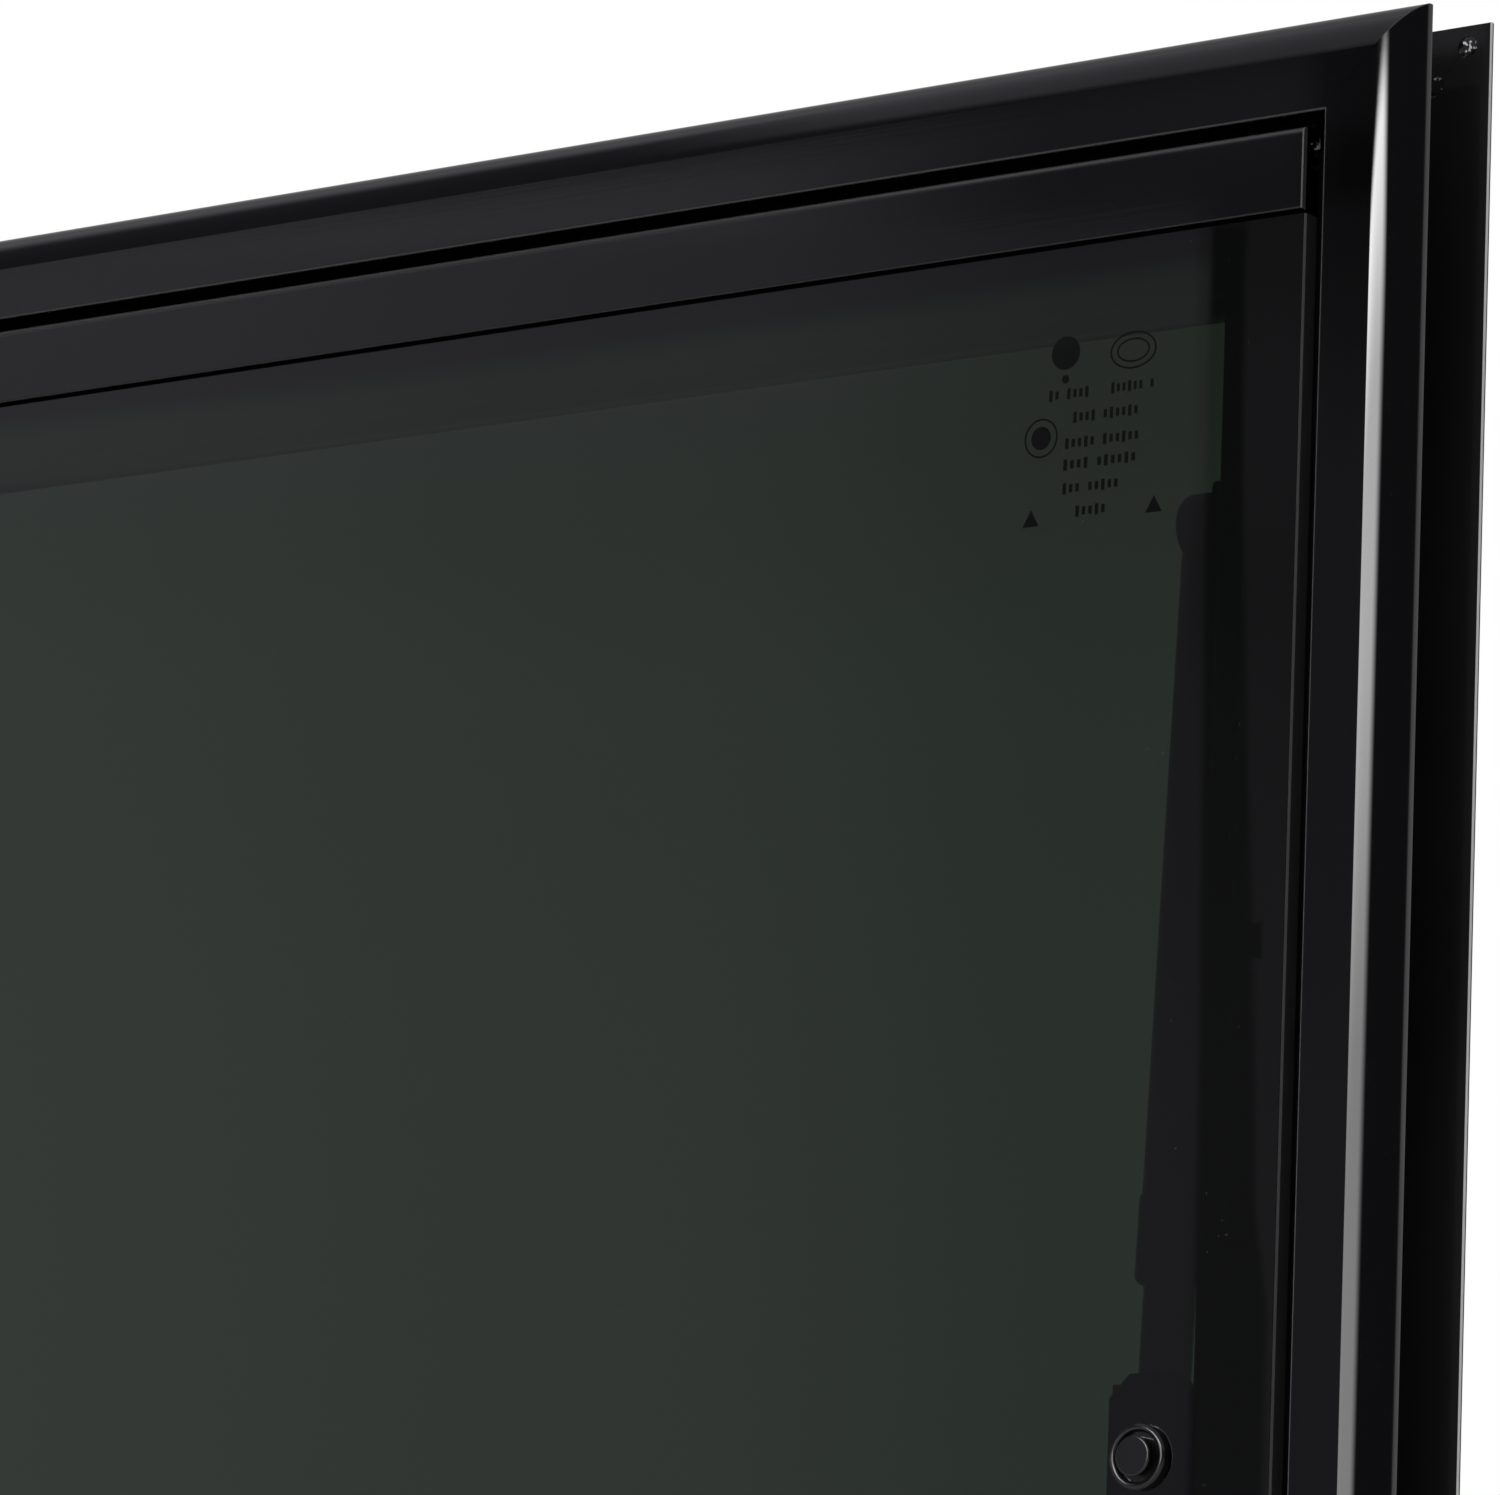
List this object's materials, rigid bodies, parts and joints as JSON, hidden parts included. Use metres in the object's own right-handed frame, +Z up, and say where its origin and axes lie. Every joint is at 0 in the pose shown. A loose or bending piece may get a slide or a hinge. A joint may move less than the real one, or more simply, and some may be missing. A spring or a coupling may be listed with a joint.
{
  "type": "caravan window",
  "caption": "Top-hung push-out caravan window with tinted glass in a mitred black aluminium frame, with stays, latches and an inner clamp ring.",
  "frame": {"origin": "on the back face of the bottom flange, half way along it and half way up its seat on the wall skin", "axes": "+X to the right seen from outside, +Y through the wall into the caravan, +Z up"},
  "size_m": [0.9024, 0.0334, 0.5023],
  "materials": {
    "frame_paint": "semi-gloss black powder coat on aluminium",
    "ring_paint": "semi-gloss black powder coat on aluminium",
    "black_screws": "black coated steel",
    "tinted_glass": "dark green tinted toughened glass",
    "seal_rubber": "matt black rubber",
    "stay_paint": "black coated steel",
    "stay_plastic": "satin black plastic",
    "cap_plastic": "satin black plastic",
    "latch_plastic": "satin black plastic",
    "nut_steel": "zinc plated"
  },
  "bodies": {
    "root": {"frame_top": "frame_paint", "frame_bottom": "frame_paint", "frame_left": "frame_paint", "frame_right": "frame_paint", "reveal_top": "frame_paint", "reveal_bottom": "frame_paint", "reveal_left": "frame_paint", "reveal_right": "frame_paint", "frame_hinge": "frame_paint", "hinge_rail": "frame_paint", "clamp_top": "ring_paint", "clamp_bottom": "ring_paint", "clamp_left": "ring_paint", "clamp_right": "ring_paint", "clamp_screws": "black_screws", "clamp_corner_pins": "black_screws", "glass_pane": "tinted_glass", "seal_top": "seal_rubber", "seal_bottom": "seal_rubber", "seal_left": "seal_rubber", "seal_right": "seal_rubber", "stay_bracket_left": "stay_paint", "stay_bracket_right": "stay_paint", "stay_rod_left": "stay_paint", "stay_rod_right": "stay_paint", "glass_bracket_left": "stay_paint", "glass_bracket_right": "stay_paint", "stay_tube_left": "stay_plastic", "stay_tube_right": "stay_plastic", "stay_collar_left": "stay_plastic", "stay_collar_right": "stay_plastic", "stay_bolt_left": "cap_plastic", "stay_bolt_right": "cap_plastic", "latch_bolt_left": "cap_plastic", "latch_bolt_right": "cap_plastic", "latch_body_left": "latch_plastic", "latch_body_right": "latch_plastic", "latch_lever_left": "latch_plastic", "latch_lever_right": "latch_plastic", "latch_keeper_left": "latch_plastic", "latch_keeper_right": "latch_plastic", "bolt_nuts": "nut_steel"}
  },
  "joints": []
}
